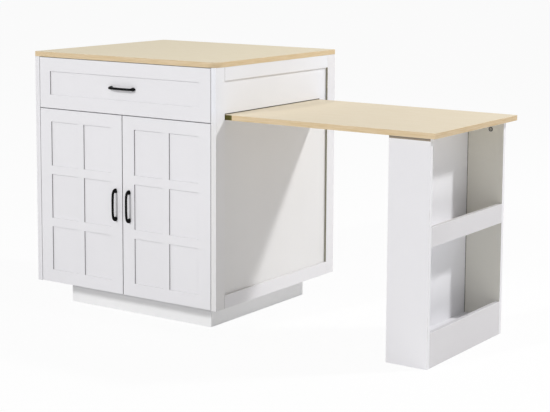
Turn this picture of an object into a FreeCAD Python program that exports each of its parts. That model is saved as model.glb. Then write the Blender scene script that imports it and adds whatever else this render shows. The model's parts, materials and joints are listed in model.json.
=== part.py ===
import FreeCAD, Part
import os
import re
import Sketcher

# Kitchen island with a pull-out table leaf, in millimetres, +Z up.
# The front (drawer and doors) faces -Y and the leaf pulls out towards +X.
# The origin is the middle of the whole object's footprint, on the floor.

os.makedirs("parts", exist_ok=True)
doc = FreeCAD.newDocument("kitchen_island")

SIZES = {
    # cabinet
    "cab_width": 800,
    "cab_depth": 730,
    "cab_height": 914,
    "top_thick": 18,
    "top_corner": 40,           # rounding of the worktop's front right corner
    "board_thick": 15,          # bottom, deck, shelf and stretchers
    "side_thick": 12,           # the two side boards, without their frames
    "frame_thick": 8,           # stiles and rails applied to the sides
    "stile_width": 49,
    "top_rail_tall": 45,
    "low_rail_tall": 46,
    "back_thick": 5,
    "stretcher_deep": 80,
    # plinth
    "plinth_tall": 85,
    "plinth_thick": 15,
    "plinth_in_side": 85,
    "plinth_in_front": 88,
    "plinth_in_back": 75,
    # drawer front and doors
    "front_thick": 18,
    "front_gap": 2,             # between a front and the side, top or bottom of the body
    "meeting_gap": 3,           # between two fronts
    "drawer_front_tall": 179,
    "shaker_border": 48,        # flat border of the drawer front
    "recess_deep": 4,           # depth of the sunk fields of all fronts
    "door_stile": 51,
    "door_mullion": 28,
    "door_rail": 45,
    "door_bar": 31,
    # arched pulls
    "pull_reach": 25,           # from the front's face to the outside of the bar
    "pull_rod": 4,              # radius of the bar
    "pull_span": 108,           # where the bar's centre line meets the face
    "pull_holes": 96,           # distance of the two screws
    "pull_foot": 6.5,           # radius of the flared foot
    "pull_foot_tall": 5,
    "pull_from_edge": 28.5,     # from a door's meeting edge
    "thread_rad": 2,
    "thread_play": 0.1,
    "thread_deep": 5,           # how far a screw reaches into the pull
    "head_rad": 4,
    "head_tall": 2.2,
    # concealed hinges
    "hinge_from_end": 100,      # from a door's top and bottom edge
    "cup_rad": 17.5,
    "cup_deep": 11.5,
    "cup_wall": 1.2,
    "cup_from_edge": 22.5,
    "cup_play": 0.1,
    "cup_floor_play": 0.2,
    "flange_rad": 20,
    "flange_thick": 1,
    "ear_long": 60,
    "ear_wide": 13,
    "plate_thick": 2,
    "plate_tall": 48,
    "plate_wide": 18,
    "rail_thick": 6,
    "rail_long": 40,
    "rail_tall": 11,
    "arm_thick": 5,
    "arm_tall": 13,
    "plate_from_face": 38,      # from the fronts' outer face to the hinge rail
    "arm_lead": 2,              # how far the arm runs on past its rail before it bends
    "crank_clear": 7,           # from the door's rear face to the end of the bend
    "crank_reach": 19,          # how far the hinge arm stands off the side at its tip
    "tip_into_cup": 5,
    # adjustable shelf
    "shelf_above_bottom": 285,
    "shelf_setback": 20,
    "shelf_play": 1,
    "pin_rad": 2.5,
    "pin_play": 0.1,
    "pin_in": 8,
    "pin_out": 9,
    "pin_inset": 60,            # from the shelf's front and rear edges
    "pin_pitch": 32,
    # drawer box and its runners
    "runner_wide": 13,
    "runner_tall": 46,
    "runner_long": 500,
    "runner_wall": 1.5,
    "runner_play": 0.3,         # above and below a member inside the next one
    "runner_web_gap": 1,        # beside a member inside the next one
    "outer_lip_short": 4,       # how far the lips stop short of the drawer's side
    "middle_lip_short": 3,
    "drawer_long": 500,
    "drawer_board": 12,
    "drawer_side_tall": 105,
    "drawer_above_leaf": 14,
    "drawer_floor": 5,
    "groove_up": 9,
    "groove_deep": 6,
    "groove_play": 0.2,
    # pull-out leaf
    "leaf_reach": 775,          # from the cabinet's side to the leaf's end
    "leaf_inside": 100,
    "leaf_thick": 18,
    "leaf_below_top": 176,      # from the worktop's surface down to the leaf's
    "leaf_from_front": 60,
    "leaf_from_back": 95,
    "slot_headroom": 2.4,
    "slot_end_gap": 3,          # beside the leaf's rear edge
    "slide_play": 0.3,
    "guide_wide": 28,
    "stop_wide": 20,
    "stop_tall": 10,
    "stop_short": 60,           # how much the stop is set in from each edge of the leaf
    # shelf unit that carries the leaf's end
    "leg_board": 15,
    "leg_deep": 146,
    "leg_from_end": 21,
    "leg_in_front": 12,         # from the leaf's front edge
    "leg_in_back": 42,          # from the leaf's rear edge
    "mid_rail_tall": 63,
    "mid_rail_low": 381,
    "foot_rail_tall": 112,
    "low_shelf_top": 58,
    "cam_rad": 7.5,
    "cam_deep": 12,
    "cam_play": 0.1,
    "cam_below_leaf": 29,
    "cam_from_face": 48,
    "cam_slot": 1.6,            # width and depth of the cam's cross slot
    "cam_cross": 9,             # length of its two arms
}

sheet = doc.addObject("Spreadsheet::Sheet", "Sizes")
for row, (alias, size) in enumerate(SIZES.items(), start=1):
    sheet.set("A%d" % row, alias)
    sheet.set("B%d" % row, str(size))
    sheet.setAlias("B%d" % row, alias)
doc.recompute()

ALIASES = re.compile(r"\b(" + "|".join(SIZES) + r")\b")
NODES = []

# Places and sizes that several pieces share, as expressions over the sheet.
LEFT = "(-(cab_width + leaf_reach) / 2)"
RIGHT = f"({LEFT} + cab_width)"
FRONT = "((pull_reach - cab_depth) / 2)"
BACK = f"({FRONT} + cab_depth)"
LEAF_END = f"({RIGHT} + leaf_reach)"
BODY_TOP = "(cab_height - top_thick)"
BODY_TALL = f"({BODY_TOP} - plinth_tall)"
WALL = "(side_thick + frame_thick)"
IN_LEFT = f"({LEFT} + {WALL})"
IN_RIGHT = f"({RIGHT} - {WALL})"
IN_WIDE = f"(cab_width - 2 * {WALL})"
IN_FRONT = f"({FRONT} + front_thick)"
IN_BACK = f"({BACK} - back_thick)"
LEAF_TOP = "(cab_height - leaf_below_top)"
LEAF_LOW = f"({LEAF_TOP} - leaf_thick)"
DECK_TOP = f"({LEAF_LOW} - slide_play)"
LEAF_NEAR = f"({FRONT} + leaf_from_front)"
LEAF_FAR = f"({BACK} - leaf_from_back)"
SLOT_TOP = f"({LEAF_TOP} + slot_headroom)"
DRAWER_FRONT_LOW = f"({BODY_TOP} - front_gap - drawer_front_tall)"
DOOR_LOW = "(plinth_tall + front_gap)"
DOOR_TALL = f"({DRAWER_FRONT_LOW} - meeting_gap - {DOOR_LOW})"
DOOR_WIDE = f"(({IN_WIDE} - 2 * front_gap - meeting_gap) / 2)"
BOX_LOW = f"({LEAF_TOP} + drawer_above_leaf)"
BOX_LEFT = f"({IN_LEFT} + runner_wide)"
BOX_RIGHT = f"({IN_RIGHT} - runner_wide)"
BOX_BACK = f"({IN_FRONT} + drawer_long)"
SHELF_LOW = "(plinth_tall + board_thick + shelf_above_bottom)"
SHELF_FRONT = f"({IN_FRONT} + shelf_setback)"
LEG_FACE = f"({LEAF_END} - leg_from_end)"
LEG_REAR = f"({LEG_FACE} - leg_deep)"
LEG_NEAR = f"({LEAF_NEAR} + leg_in_front)"
LEG_FAR = f"({LEAF_FAR} - leg_in_back)"


def bind(item, prop, text):
    """Drive one property of an object by an expression over the sheet."""
    item.setExpression(prop, ALIASES.sub(r"Sizes.\1", text))


def place(item, x, y, z, turn=None):
    """Put an object at x, y, z, turned by a fixed rotation if one is given."""
    if turn is not None:
        item.Placement = FreeCAD.Placement(FreeCAD.Vector(), turn)
    bind(item, "Placement.Base.x", x)
    bind(item, "Placement.Base.y", y)
    bind(item, "Placement.Base.z", z)


def keep(item, label):
    """Name an object as one of the island's sub-parts."""
    item.Label = label
    NODES.append(item)
    return item


def block(name, x, y, z):
    """A box between two values along each axis."""
    item = doc.addObject("Part::Box", name)
    for prop, (low, high) in (("Length", x), ("Width", y), ("Height", z)):
        bind(item, prop, f"({high}) - ({low})")
    place(item, x[0], y[0], z[0])
    return item


def cylinder(name, radius, length, x, y, z, turn=None):
    item = doc.addObject("Part::Cylinder", name)
    bind(item, "Radius", radius)
    bind(item, "Height", length)
    place(item, x, y, z, turn)
    return item


def board(label, x, y, z):
    """A plain rectangular board that is a sub-part of its own."""
    return keep(block(label + "_board", x, y, z), label)


def group(label, members):
    """Several like pieces kept as separate solids under one name."""
    item = doc.addObject("Part::Compound", label + "_group")
    item.Links = members
    return keep(item, label)


def new_body(name, x, y, z, turn=None):
    body = doc.addObject("PartDesign::Body", name + "_body")
    place(body, x, y, z, turn)
    return body


def origin_plane(body, role):
    return next(item for item in body.Origin.OriginFeatures if item.Role == role)


def new_sketch(body, role, lift=None):
    """A sketch on one of the body's own origin planes, lifted along its normal."""
    sketch = body.newObject("Sketcher::SketchObject", body.Name + "_sketch")
    sketch.AttachmentSupport = [(origin_plane(body, role), "")]
    sketch.MapMode = "FlatFace"
    if lift is not None:
        bind(sketch, "AttachmentOffset.Base.z", lift)
    return sketch


def pin_point(sketch, curve, end, x, y):
    """Hold a point of a curve at x, y; None holds it on that axis."""
    for kind, text, axis in (("DistanceX", x, -2), ("DistanceY", y, -1)):
        if text is None:
            sketch.addConstraint(Sketcher.Constraint("PointOnObject", curve, end, axis))
            continue
        point = sketch.getPoint(curve, end)
        start = point.x if kind == "DistanceX" else point.y
        index = sketch.addConstraint(Sketcher.Constraint(kind, -1, 1, curve, end, start))
        bind(sketch, "Constraints[%d]" % index, text)


def outline(sketch, points):
    """A closed chain of straight lines through points given as expressions."""
    count = len(points)
    first = sketch.GeometryCount
    ring = []
    for index in range(count):
        turn = FreeCAD.Rotation(FreeCAD.Vector(0, 0, 1), 225 + 360 * index / count)
        ring.append(FreeCAD.Vector(20, 20, 0) + turn.multVec(FreeCAD.Vector(10, 0, 0)))
    for index in range(count):
        sketch.addGeometry(Part.LineSegment(ring[index], ring[(index + 1) % count]))
    for index in range(count):
        follower = first + (index + 1) % count
        sketch.addConstraint(Sketcher.Constraint("Coincident", first + index, 2, follower, 1))
    for index, (x, y) in enumerate(points):
        pin_point(sketch, first + index, 1, x, y)


def rectangle(sketch, x, y, wide, tall):
    """A rectangle from its lower left corner; None puts that side on the axis."""
    right = wide if x is None else f"{x} + {wide}"
    upper = tall if y is None else f"{y} + {tall}"
    outline(sketch, [(x, y), (right, y), (right, upper), (x, upper)])


def centred_rectangle(sketch, wide, tall):
    """A rectangle about the sketch's origin."""
    left, right = f"0 - {wide} / 2", f"{wide} / 2"
    low, high = f"0 - {tall} / 2", f"{tall} / 2"
    outline(sketch, [(left, low), (right, low), (right, high), (left, high)])


def circle(sketch, x, y, radius):
    index = sketch.addGeometry(Part.Circle(FreeCAD.Vector(5, 5, 0), FreeCAD.Vector(0, 0, 1), 3))
    pin_point(sketch, index, 3, x, y)
    bound = sketch.addConstraint(Sketcher.Constraint("Radius", index, 3))
    bind(sketch, "Constraints[%d]" % bound, radius)


def pad(body, sketch, length, against=False):
    """Grow a sketch along its plane's normal, or against it."""
    item = body.newObject("PartDesign::Pad", body.Name + "_pad")
    item.Profile = sketch
    item.Reversed = against
    bind(item, "Length", length)
    sketch.Visibility = False
    doc.recompute()
    return item


def pocket(body, sketch, depth, along=False):
    """Cut a sketch against its plane's normal, or along it, and make sure that it cuts."""
    before = body.Shape.Volume
    item = body.newObject("PartDesign::Pocket", body.Name + "_pocket")
    item.Profile = sketch
    item.Reversed = along
    bind(item, "Length", depth)
    doc.recompute()
    if body.Shape.Volume >= before:
        raise RuntimeError(item.Name + " removes nothing")
    return item


def upright_edge(feature, x, y):
    """Name of the feature's upright edge that passes x, y."""
    for index, edge in enumerate(feature.Shape.Edges, start=1):
        ends = [vertex.Point for vertex in edge.Vertexes]
        if len(ends) == 2 and all(abs(p.x - x) + abs(p.y - y) < 0.01 for p in ends):
            return "Edge%d" % index
    raise RuntimeError("no upright edge there")


TURN_BACK = FreeCAD.Rotation(FreeCAD.Vector(0, 0, 1), 180)
STAND_UP = FreeCAD.Rotation(FreeCAD.Vector(0, 1, 0), 90)
AXIS_TO_Y = FreeCAD.Rotation(FreeCAD.Vector(1, 0, 0), -90)
AXIS_TO_X = FreeCAD.Rotation(FreeCAD.Vector(0, 1, 0), 90)
PLANE_TO_XZ = FreeCAD.Rotation(FreeCAD.Vector(1, 0, 0), 90)
BAR_SIDES = 12
HOLE_SIDES = 8


# ---------------------------------------------------------------- cabinet

def worktop():
    """Flat top with one large rounded corner, above the leaf's side of the front."""
    body = new_body("worktop", LEFT, FRONT, BODY_TOP)
    sketch = new_sketch(body, "XY_Plane")
    rectangle(sketch, None, None, "cab_width", "cab_depth")
    slab = pad(body, sketch, "top_thick")
    corner = body.newObject("PartDesign::Fillet", "worktop_corner")
    corner.Base = (slab, [upright_edge(slab, SIZES["cab_width"], 0)])
    bind(corner, "Radius", "top_corner")
    keep(body, "worktop")


def pin_columns():
    """Distances of the shelf pins' two rows from the cabinet's front, along Y."""
    front = "front_thick + shelf_setback + pin_inset"
    back = "cab_depth - back_thick - shelf_play - pin_inset"
    return front, back


def side_panel(label, x, slotted):
    """Side board with two columns of three shelf pin holes in its inner face.

    The right one has the slot that the leaf runs through.
    """
    body = new_body(label, x, FRONT, "plinth_tall")
    sketch = new_sketch(body, "YZ_Plane")
    rectangle(sketch, None, None, "cab_depth", BODY_TALL)
    if slotted:
        low = f"({DECK_TOP} - plinth_tall)"
        long = "(cab_depth - stile_width - leaf_from_back + slot_end_gap)"
        rectangle(sketch, "stile_width", low, long, f"({SLOT_TOP} - {DECK_TOP})")
    pad(body, sketch, "side_thick")
    holes = new_sketch(body, "YZ_Plane", None if slotted else "side_thick")
    for column in pin_columns():
        for row in (-1, 0, 1):
            height = f"{SHELF_LOW} - pin_rad - plinth_tall + ({row}) * pin_pitch"
            circle(holes, column, height, "pin_rad + pin_play")
    pocket(body, holes, "pin_in + pin_play", along=slotted)
    keep(body, label)


def side_frame(side, x):
    """Two stiles and two rails applied to the outside of a side board."""
    across = (x, f"{x} + frame_thick")
    low = "plinth_tall"
    high = BODY_TOP
    near = (FRONT, f"{FRONT} + stile_width")
    far = (f"{BACK} - stile_width", BACK)
    between = (near[1], far[0])
    board(side + "_front_stile", across, near, (low, high))
    board(side + "_rear_stile", across, far, (low, high))
    board(side + "_top_rail", across, between, (f"{high} - top_rail_tall", high))
    board(side + "_bottom_rail", across, between, (low, f"{low} + low_rail_tall"))


def carcass():
    """Boards between the two sides."""
    inside = (IN_LEFT, IN_RIGHT)
    depth = (IN_FRONT, IN_BACK)
    board("bottom_panel", inside, depth, ("plinth_tall", "plinth_tall + board_thick"))
    board("leaf_deck", inside, depth, (f"{DECK_TOP} - board_thick", DECK_TOP))
    under_top = (f"{BODY_TOP} - board_thick", BODY_TOP)
    board("front_stretcher", inside, (IN_FRONT, f"{IN_FRONT} + stretcher_deep"), under_top)
    board("rear_stretcher", inside, (f"{IN_BACK} - stretcher_deep", IN_BACK), under_top)
    board("back_panel", inside, (IN_BACK, BACK), ("plinth_tall", BODY_TOP))
    guide = (DECK_TOP, LEAF_TOP)
    near = f"{LEAF_NEAR} - slide_play"
    far = f"{LEAF_FAR} + slide_play"
    board("front_leaf_guide", inside, (f"{near} - guide_wide", near), guide)
    board("rear_leaf_guide", inside, (far, f"{far} + guide_wide"), guide)


def plinth():
    """Four boards set back under the cabinet; the long ones cover the short ones' ends."""
    height = ("0", "plinth_tall")
    left = f"{LEFT} + plinth_in_side"
    right = f"{RIGHT} - plinth_in_side"
    front = f"{FRONT} + plinth_in_front"
    back = f"{BACK} - plinth_in_back"
    between = (f"{front} + plinth_thick", f"{back} - plinth_thick")
    board("plinth_front", (left, right), (front, between[0]), height)
    board("plinth_back", (left, right), (between[1], back), height)
    board("plinth_left", (left, f"{left} + plinth_thick"), between, height)
    board("plinth_right", (f"{right} - plinth_thick", right), between, height)


def adjustable_shelf():
    """Loose shelf on four round pins."""
    across = (f"{IN_LEFT} + shelf_play", f"{IN_RIGHT} - shelf_play")
    depth = (SHELF_FRONT, f"{IN_BACK} - shelf_play")
    board("adjustable_shelf", across, depth, (SHELF_LOW, f"{SHELF_LOW} + board_thick"))
    pins = []
    for side, start in (("left", f"{IN_LEFT} - pin_in"), ("right", f"{IN_RIGHT} - pin_out")):
        for column in pin_columns():
            pins.append(cylinder(
                side + "_shelf_pin", "pin_rad", "pin_in + pin_out",
                start, f"{FRONT} + {column}", f"{SHELF_LOW} - pin_rad", AXIS_TO_X,
            ))
    group("shelf_pins", pins)


# ------------------------------------------------------- fronts and pulls

def many_sided(name, sides, radius, x, y):
    """Outline of a nearly round bar, foot or hole in a plane across Y.

    Its flats lie at the radius and the first of them faces along X.
    """
    item = doc.addObject("Part::RegularPolygon", name)
    item.Polygon = sides
    bind(item, "Circumradius", f"{radius} / cos(180 deg / {sides})")
    first_flat = FreeCAD.Rotation(FreeCAD.Vector(0, 0, 1), 180 / sides)
    place(item, x, y, "0", PLANE_TO_XZ.multiply(first_flat))
    return item


def many_sided_bar(name, sides, start, end):
    """Solid between two outlines, given as radius, x and y of each."""
    item = doc.addObject("Part::Loft", name)
    item.Sections = [many_sided(name + "_end", sides, *each) for each in (start, end)]
    item.Solid = True
    item.Ruled = True
    return item


def pull(label, x, y, z, turn):
    """Arched pull: a round bar bent to a shallow bow, on two flared feet.

    In its own frame the face it sits on is y = 0 and the bow stands out along +Y.
    The bow is the stretch of a ring that lies in front of that face. Bar, feet and
    screw holes have many flat sides in place of round ones, to keep the facets few.
    """
    rise = "(pull_reach - pull_rod)"
    bend = f"((pull_span * pull_span / 4 + {rise} * {rise}) / (2 * {rise}))"
    ring = doc.addObject("Part::Revolution", label + "_ring")
    ring.Source = many_sided(label + "_section", BAR_SIDES, "pull_rod", bend, f"{rise} - {bend}")
    ring.Axis = FreeCAD.Vector(0, 0, 1)
    bind(ring, "Base.y", f"{rise} - {bend}")
    ring.Angle = 360
    ring.Solid = True
    around = ("0 - pull_span", "pull_span")
    room = block(label + "_room", around, ("0", "pull_span"), around)
    bow = doc.addObject("Part::Common", label + "_bow")
    bow.Base = ring
    bow.Tool = room
    pieces = [bow]
    drills = []
    for side in (-1, 1):
        middle = f"({side}) * pull_holes / 2"
        pieces.append(many_sided_bar(
            label + "_foot", BAR_SIDES,
            ("pull_foot", middle, "0"), ("pull_rod", middle, "pull_foot_tall"),
        ))
        hole = "(thread_rad + thread_play)"
        drills.append(many_sided_bar(
            label + "_drill", HOLE_SIDES,
            (hole, middle, "0 - thread_play"), (hole, middle, "thread_deep + thread_play"),
        ))
    whole = doc.addObject("Part::MultiFuse", label + "_whole")
    whole.Shapes = pieces
    tapped = doc.addObject("Part::MultiFuse", label + "_drills")
    tapped.Shapes = drills
    item = doc.addObject("Part::Cut", label + "_cut")
    item.Base = whole
    item.Tool = tapped
    place(item, x, y, z, turn)
    keep(item, label)


def pull_screws(label, x, y, z, through, upright):
    """Two pan head screws that hold a pull from behind its front.

    x, z is the pull's middle, y the face it sits on and through the front's thickness there.
    """
    screws = []
    for side in (-1, 1):
        shift = f"({side}) * pull_holes / 2"
        body = new_body(
            label,
            x if upright else f"{x} + {shift}",
            f"{y} - thread_deep",
            f"{z} + {shift}" if upright else z,
        )
        profile = new_sketch(body, "XY_Plane")
        shank = f"thread_deep + {through}"
        outline(profile, [
            (None, None),
            ("thread_rad", None),
            ("thread_rad", shank),
            ("head_rad", shank),
            ("head_rad", f"{shank} + head_tall"),
            (None, f"{shank} + head_tall"),
        ])
        screw = body.newObject("PartDesign::Revolution", label + "_turned")
        screw.Profile = profile
        screw.ReferenceAxis = (profile, ["V_Axis"])
        screw.Angle = 360
        screws.append(body)
    group(label, screws)


def drawer_front():
    """Flat front with one sunk field that carries the pull in its middle."""
    x = f"{IN_LEFT} + front_gap"
    wide = f"({IN_WIDE} - 2 * front_gap)"
    body = new_body("drawer_front", x, FRONT, DRAWER_FRONT_LOW)
    face = new_sketch(body, "XZ_Plane")
    rectangle(face, None, None, wide, "drawer_front_tall")
    pad(body, face, "front_thick", against=True)
    field = new_sketch(body, "XZ_Plane")
    rectangle(
        field, "shaker_border", "shaker_border",
        f"({wide} - 2 * shaker_border)", "(drawer_front_tall - 2 * shaker_border)",
    )
    pocket(body, field, "recess_deep")
    holes = new_sketch(body, "XZ_Plane")
    for side in (-1, 1):
        across = f"{wide} / 2 + ({side}) * pull_holes / 2"
        circle(holes, across, "drawer_front_tall / 2", "thread_rad + thread_play")
    pocket(body, holes, "front_thick")
    keep(body, "drawer_front")
    middle_x = f"{x} + {wide} / 2"
    middle_z = f"{DRAWER_FRONT_LOW} + drawer_front_tall / 2"
    seat = f"{FRONT} + recess_deep"
    pull("drawer_handle", middle_x, seat, middle_z, TURN_BACK)
    behind = "front_thick - recess_deep"
    pull_screws("drawer_handle_screws", middle_x, seat, middle_z, behind, upright=False)


def door(side):
    """Door with six sunk fields, bored for its pull and for two hinge cups."""
    hinged_left = side == "left"
    if hinged_left:
        x = f"{IN_LEFT} + front_gap"
        pull_x = f"({DOOR_WIDE} - pull_from_edge)"
        cup_x = "cup_from_edge"
    else:
        x = f"{IN_RIGHT} - front_gap - {DOOR_WIDE}"
        pull_x = "pull_from_edge"
        cup_x = f"({DOOR_WIDE} - cup_from_edge)"
    label = side + "_door"
    body = new_body(label, x, FRONT, DOOR_LOW)
    face = new_sketch(body, "XZ_Plane")
    rectangle(face, None, None, DOOR_WIDE, DOOR_TALL)
    pad(body, face, "front_thick", against=True)
    fields = new_sketch(body, "XZ_Plane")
    column_wide = f"(({DOOR_WIDE} - 2 * door_stile - door_mullion) / 2)"
    row_tall = f"(({DOOR_TALL} - 2 * door_rail - 2 * door_bar) / 3)"
    for column in range(2):
        for row in range(3):
            left = f"door_stile + {column} * ({column_wide} + door_mullion)"
            low = f"door_rail + {row} * ({row_tall} + door_bar)"
            rectangle(fields, left, low, column_wide, row_tall)
    pocket(body, fields, "recess_deep")
    holes = new_sketch(body, "XZ_Plane")
    for end in (-1, 1):
        circle(holes, pull_x, f"{DOOR_TALL} / 2 + ({end}) * pull_holes / 2", "thread_rad + thread_play")
    pocket(body, holes, "front_thick")
    bores = new_sketch(body, "XZ_Plane", "0 - front_thick")
    for height in hinge_heights():
        circle(bores, cup_x, f"{height} - {DOOR_LOW}", "cup_rad + cup_play")
    pocket(body, bores, "cup_deep + cup_floor_play", along=True)
    keep(body, label)
    middle_x = f"{x} + {pull_x}"
    middle_z = f"{DOOR_LOW} + {DOOR_TALL} / 2"
    pull(side + "_door_handle", middle_x, FRONT, middle_z, TURN_BACK.multiply(STAND_UP))
    pull_screws(side + "_door_screws", middle_x, FRONT, middle_z, "front_thick", upright=True)
    hinge_cups(side, f"{x} + {cup_x}")


# -------------------------------------------------------------- hinges

def hinge_heights():
    """Heights of a door's two hinges above the floor."""
    low = f"({DOOR_LOW} + hinge_from_end)"
    high = f"({DOOR_LOW} + {DOOR_TALL} - hinge_from_end)"
    return low, high


def hinge_cups(side, x):
    """Hollow cups with a round flange and two screw ears, sunk in the door's rear face."""
    cups = []
    for height in hinge_heights():
        body = new_body(side + "_cup", x, f"{IN_FRONT} + flange_thick", height, TURN_BACK)
        profile = new_sketch(body, "XY_Plane")
        outline(profile, [
            (None, None),
            ("flange_rad", None),
            ("flange_rad", "flange_thick"),
            ("cup_rad", "flange_thick"),
            ("cup_rad", "flange_thick + cup_deep"),
            (None, "flange_thick + cup_deep"),
        ])
        turned = body.newObject("PartDesign::Revolution", side + "_cup_turned")
        turned.Profile = profile
        turned.ReferenceAxis = (profile, ["V_Axis"])
        turned.Angle = 360
        doc.recompute()
        ears = new_sketch(body, "XZ_Plane")
        centred_rectangle(ears, "ear_wide", "ear_long")
        pad(body, ears, "flange_thick", against=True)
        mouth = new_sketch(body, "XZ_Plane")
        circle(mouth, None, None, "cup_rad - cup_wall")
        pocket(body, mouth, "flange_thick + cup_deep - cup_wall")
        cups.append(body)
    group(side + "_hinge_cups", cups)


def hinge_mounts():
    """Mounting plates on the sides and the cranked arms that they carry."""
    plates = []
    arms = []
    for side in ("left", "right"):
        for height in hinge_heights():
            plates.append(hinge_plate(side, height))
            arms.append(hinge_arm(side, height))
    group("hinge_plates", plates)
    group("hinge_arms", arms)


def off_side(side, distance):
    """X of a point that stands off a side's inner face."""
    if side == "left":
        return f"{IN_LEFT} + {distance}"
    return f"{IN_RIGHT} - ({distance})"


def hinge_plate(side, height):
    """Thin wing screwed to the side, with the rail that the arm sits on."""
    middle = f"{FRONT} + plate_from_face + rail_long / 2"
    wing_x = sorted_span(side, "0", "plate_thick")
    rail_x = sorted_span(side, "plate_thick", "plate_thick + rail_thick")
    wing = block(
        side + "_hinge_wing", wing_x,
        (f"{middle} - plate_wide / 2", f"{middle} + plate_wide / 2"),
        (f"{height} - plate_tall / 2", f"{height} + plate_tall / 2"),
    )
    rail = block(
        side + "_hinge_rail", rail_x,
        (f"{middle} - rail_long / 2", f"{middle} + rail_long / 2"),
        (f"{height} - rail_tall / 2", f"{height} + rail_tall / 2"),
    )
    plate = doc.addObject("Part::Fuse", side + "_hinge_plate")
    plate.Base = wing
    plate.Tool = rail
    plate.Refine = True
    return plate


def sorted_span(side, near, far):
    """A span between two distances off a side's inner face, low X first."""
    if side == "left":
        return off_side(side, near), off_side(side, far)
    return off_side(side, far), off_side(side, near)


def hinge_arm(side, height):
    """Cranked arm: flat on the rail, then bent out so that its tip sits in the cup."""
    root = "plate_thick + rail_thick"
    tip_y = "front_thick - tip_into_cup"
    crank_start = "(plate_from_face - arm_lead)"
    crank_end = "(front_thick + crank_clear)"
    shape = [
        (root, "plate_from_face + rail_long"),
        (root, crank_start),
        ("crank_reach", crank_end),
        ("crank_reach", tip_y),
        ("crank_reach + arm_thick", tip_y),
        ("crank_reach + arm_thick", f"{crank_end} + arm_thick / 2"),
        (f"{root} + arm_thick", f"{crank_start} + arm_thick"),
        (f"{root} + arm_thick", "plate_from_face + rail_long"),
    ]
    reach = "(crank_reach + arm_thick)"
    if side == "left":
        start = IN_LEFT
        points = shape
    else:
        start = f"{IN_RIGHT} - {reach}"
        points = [(f"{reach} - ({x})", y) for x, y in reversed(shape)]
    body = new_body(side + "_hinge_arm", start, FRONT, f"{height} - arm_tall / 2")
    sketch = new_sketch(body, "XY_Plane")
    outline(sketch, points)
    pad(body, sketch, "arm_tall")
    return body


# -------------------------------------------------------- drawer and runners

def runner_member(label, side, points):
    """One rolled member of a telescopic runner, drawn as its section off the side."""
    if side == "left":
        start = IN_LEFT
        section = points
    else:
        start = f"{IN_RIGHT} - runner_wide"
        section = [("runner_wide" if x is None else f"runner_wide - ({x})", y) for x, y in reversed(points)]
    low = f"{BOX_LOW} + drawer_side_tall / 2 - runner_tall / 2"
    body = new_body(label, start, IN_FRONT, low)
    sketch = new_sketch(body, "XZ_Plane")
    outline(sketch, section)
    pad(body, sketch, "runner_long", against=True)
    keep(body, label)


def channel(back, lip, low, opens_out):
    """Section of a channel, from its web's two faces, its lips' tips and its lower edge."""
    web, inner_web = back
    high = f"runner_tall - ({low})" if low is not None else "runner_tall"
    floor = f"{low} + runner_wall" if low is not None else "runner_wall"
    roof = f"{high} - runner_wall"
    points = [
        (web, low),
        (lip, low),
        (lip, floor),
        (inner_web, floor),
        (inner_web, roof),
        (lip, roof),
        (lip, high),
        (web, high),
    ]
    return points if opens_out else list(reversed(points))


def runners(side):
    """Outer member on the cabinet, middle member, and inner member on the drawer."""
    nest = "(runner_wall + runner_play)"
    step = "(runner_wall + runner_web_gap)"
    outer = channel((None, "runner_wall"), "runner_wide - outer_lip_short", None, True)
    middle = channel((step, f"{step} + runner_wall"), "runner_wide - middle_lip_short", nest, True)
    inner = channel(
        ("runner_wide", "runner_wide - runner_wall"), f"2 * {step}", f"2 * {nest}", False,
    )
    runner_member(side + "_runner_outer", side, outer)
    runner_member(side + "_runner_middle", side, middle)
    runner_member(side + "_runner_inner", side, inner)


def drawer_side(label, x, inward):
    """Drawer side with the groove that holds the bottom."""
    body = new_body(label, x, IN_FRONT, BOX_LOW)
    sketch = new_sketch(body, "XZ_Plane")
    groove = ("groove_up - groove_play / 2", "groove_up + drawer_floor + groove_play / 2")
    bed = "drawer_board - groove_deep"
    shape = [
        (None, None),
        ("drawer_board", None),
        ("drawer_board", groove[0]),
        (bed, groove[0]),
        (bed, groove[1]),
        ("drawer_board", groove[1]),
        ("drawer_board", "drawer_side_tall"),
        (None, "drawer_side_tall"),
    ]
    if not inward:
        turned = {None: "drawer_board", "drawer_board": None, bed: "groove_deep"}
        shape = [(turned[x], y) for x, y in reversed(shape)]
    outline(sketch, shape)
    pad(body, sketch, "drawer_long", against=True)
    keep(body, label)


def drawer_box():
    drawer_side("drawer_left_side", BOX_LEFT, inward=True)
    drawer_side("drawer_right_side", f"{BOX_RIGHT} - drawer_board", inward=False)
    floor = f"{BOX_LOW} + groove_up"
    across = (f"{BOX_LEFT} + drawer_board", f"{BOX_RIGHT} - drawer_board")
    reach = "groove_deep - groove_play"
    board(
        "drawer_bottom", (f"{across[0]} - ({reach})", f"{across[1]} + {reach}"),
        (IN_FRONT, BOX_BACK), (floor, f"{floor} + drawer_floor"),
    )
    rear = (f"{BOX_BACK} - drawer_board", BOX_BACK)
    board("drawer_back", across, rear, (f"{floor} + drawer_floor", f"{BOX_LOW} + drawer_side_tall"))


# ------------------------------------------------------------ pull-out leaf

def leaf():
    """Table leaf with the batten that stops it inside the slotted side."""
    board(
        "leaf", (f"{RIGHT} - leaf_inside", LEAF_END), (LEAF_NEAR, LEAF_FAR), (LEAF_LOW, LEAF_TOP),
    )
    board(
        "leaf_stop",
        (f"{IN_RIGHT} - slide_play - stop_wide", f"{IN_RIGHT} - slide_play"),
        (f"{LEAF_NEAR} + stop_short", f"{LEAF_FAR} - stop_short"),
        (LEAF_TOP, f"{LEAF_TOP} + stop_tall"),
    )


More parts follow.
